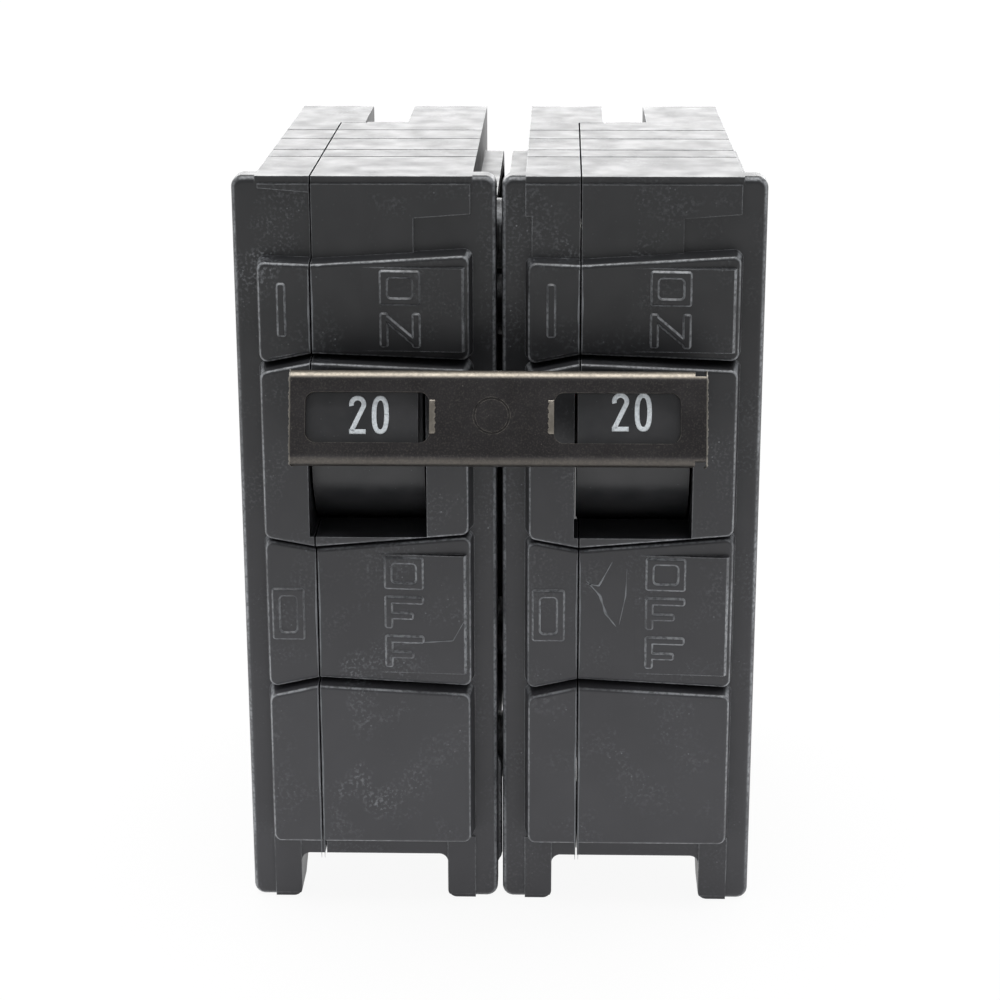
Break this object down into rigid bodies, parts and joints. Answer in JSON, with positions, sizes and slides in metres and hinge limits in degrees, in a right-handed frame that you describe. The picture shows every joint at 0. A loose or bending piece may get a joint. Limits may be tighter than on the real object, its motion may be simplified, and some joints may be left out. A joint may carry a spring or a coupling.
{
  "type": "two-pole circuit breaker",
  "caption": "Two-pole plug-on branch circuit breaker with tied toggle handles, stab jaws at the line end and inclined screw terminals at the load end.",
  "frame": {"origin": "middle of the bounding box at the feet: between the two poles, halfway from handle tie to back, at the load end", "axes": "+Z along the breaker from load end to line end, -Y out of the handle side, +X to the right seen from the handle side"},
  "size_m": [0.0508, 0.0603, 0.074],
  "materials": {
    "case_phenolic": "moulded black thermoset, satin with dusty edges",
    "handle_plastic": "satin black moulded handle with a white number",
    "tie_steel": "black oxide sheet steel",
    "rivet_steel": "zinc plated steel",
    "spring_steel": "spring steel wire",
    "blade_steel": "plain stamped steel",
    "copper": "bare copper",
    "tinned_copper": "tin plated copper",
    "silver_contact": "silver alloy contact",
    "bimetal_strip": "rolled bimetal",
    "chute_fibre": "vulcanised fibre",
    "trip_plastic": "moulded red thermoplastic",
    "lug_aluminium": "tin plated aluminium",
    "screw_steel": "zinc plated steel"
  },
  "bodies": {
    "case": {"case_cover_left": "case_phenolic", "case_cover_right": "case_phenolic", "case_base_left": "case_phenolic", "case_base_right": "case_phenolic", "line_terminal_left": "copper", "line_terminal_right": "copper", "line_jaw_left": "tinned_copper", "line_jaw_right": "tinned_copper", "jaw_spring_left": "spring_steel", "jaw_spring_right": "spring_steel", "fixed_contact_left": "silver_contact", "fixed_contact_right": "silver_contact", "arc_plates_left": "blade_steel", "arc_plates_right": "blade_steel", "arc_frame_left": "chute_fibre", "arc_frame_right": "chute_fibre", "cradle_pin_left": "blade_steel", "cradle_pin_right": "blade_steel", "bimetal_left": "bimetal_strip", "bimetal_right": "bimetal_strip", "magnet_yoke_left": "blade_steel", "magnet_yoke_right": "blade_steel", "armature_pin_left": "blade_steel", "armature_pin_right": "blade_steel", "armature_spring_left": "spring_steel", "armature_spring_right": "spring_steel", "calibration_screw_left": "screw_steel", "calibration_screw_right": "screw_steel", "load_strap_left": "copper", "load_strap_right": "copper", "lug_body_left": "lug_aluminium", "lug_body_right": "lug_aluminium", "flex_braid_left": "copper", "flex_braid_right": "copper", "case_rivets": "rivet_steel"},
    "handle": {"handle_tie": "tie_steel", "toggle_left": "handle_plastic", "toggle_right": "handle_plastic", "arm_pin_left": "blade_steel", "arm_pin_right": "blade_steel"},
    "arm_left": {"contact_arm_left": "copper", "moving_contact_left": "silver_contact"},
    "arm_right": {"contact_arm_right": "copper", "moving_contact_right": "silver_contact"},
    "cradle_left": {"cradle_left": "blade_steel", "main_spring_left": "spring_steel"},
    "cradle_right": {"cradle_right": "blade_steel", "main_spring_right": "spring_steel"},
    "armature_left": {"armature_left": "blade_steel"},
    "armature_right": {"armature_right": "blade_steel"},
    "trip_bar": {"common_trip_bar": "trip_plastic"},
    "clamp_left": {"clamp_plate_left": "screw_steel"},
    "screw_left": {"terminal_screw_left": "screw_steel"},
    "clamp_right": {"clamp_plate_right": "screw_steel"},
    "screw_right": {"terminal_screw_right": "screw_steel"}
  },
  "joints": [
    {"name": "handle_swing", "type": "hinge", "parent": "case", "child": "handle", "pos_m": [0, -0.01015, 0.0478], "axis": [1, 0, 0], "range_deg": [0, 36]},
    {"name": "contact_arm_left_swing", "type": "hinge", "parent": "handle", "child": "arm_left", "pos_m": [-0.0127, -0.00682, 0.04672], "axis": [1, 0, 0], "range_deg": [-10.1, 0], "deforming": ["flex_braid_left", "main_spring_left"]},
    {"name": "contact_arm_right_swing", "type": "hinge", "parent": "handle", "child": "arm_right", "pos_m": [0.0127, -0.00682, 0.04672], "axis": [1, 0, 0], "range_deg": [-10.1, 0], "deforming": ["flex_braid_right", "main_spring_right"]},
    {"name": "cradle_left_trip", "type": "hinge", "parent": "case", "child": "cradle_left", "pos_m": [-0.0127, -0.00765, 0.029], "axis": [1, 0, 0], "range_deg": [0, 20]},
    {"name": "cradle_right_trip", "type": "hinge", "parent": "case", "child": "cradle_right", "pos_m": [0.0127, -0.00765, 0.029], "axis": [1, 0, 0], "range_deg": [0, 20.1]},
    {"name": "armature_left_swing", "type": "hinge", "parent": "case", "child": "armature_left", "pos_m": [-0.0127, 0.01485, 0.049], "axis": [1, 0, 0], "range_deg": [0, 3.6], "stiffness_Nm_per_rad": 0.005},
    {"name": "armature_right_swing", "type": "hinge", "parent": "case", "child": "armature_right", "pos_m": [0.0127, 0.01485, 0.049], "axis": [1, 0, 0], "range_deg": [0, 3.6], "stiffness_Nm_per_rad": 0.005},
    {"name": "trip_bar_turn", "type": "hinge", "parent": "case", "child": "trip_bar", "pos_m": [0, 0.00785, 0.0456], "axis": [1, 0, 0], "range_deg": [0, 6.1]},
    {"name": "clamp_left_slide", "type": "slide", "parent": "case", "child": "clamp_left", "axis": [0, 0.6428, 0.766], "range_m": [0, 0.0028]},
    {"name": "terminal_screw_left_turn", "type": "hinge", "parent": "clamp_left", "child": "screw_left", "pos_m": [-0.0127, 0.00635, 0.0098], "axis": [0, 0.6428, 0.766], "range_deg": [0, 1262]},
    {"name": "clamp_right_slide", "type": "slide", "parent": "case", "child": "clamp_right", "axis": [0, 0.6428, 0.766], "range_m": [0, 0.0028]},
    {"name": "terminal_screw_right_turn", "type": "hinge", "parent": "clamp_right", "child": "screw_right", "pos_m": [0.0127, 0.00635, 0.0098], "axis": [0, 0.6428, 0.766], "range_deg": [0, 1262]}
  ],
  "couplings": [
    {"joint": "contact_arm_left_swing", "follows": "handle_swing", "ratio": -0.27778},
    {"joint": "contact_arm_right_swing", "follows": "handle_swing", "ratio": -0.27778},
    {"joint": "cradle_right_trip", "follows": "cradle_left_trip", "ratio": 1},
    {"joint": "trip_bar_turn", "follows": "cradle_left_trip", "ratio": 0.3},
    {"joint": "armature_left_swing", "follows": "cradle_left_trip", "ratio": 0.175},
    {"joint": "armature_right_swing", "follows": "cradle_left_trip", "ratio": 0.175},
    {"joint": "terminal_screw_left_turn", "follows": "clamp_left_slide", "rad_per_m": 7854},
    {"joint": "terminal_screw_right_turn", "follows": "clamp_right_slide", "rad_per_m": 7854}
  ]
}
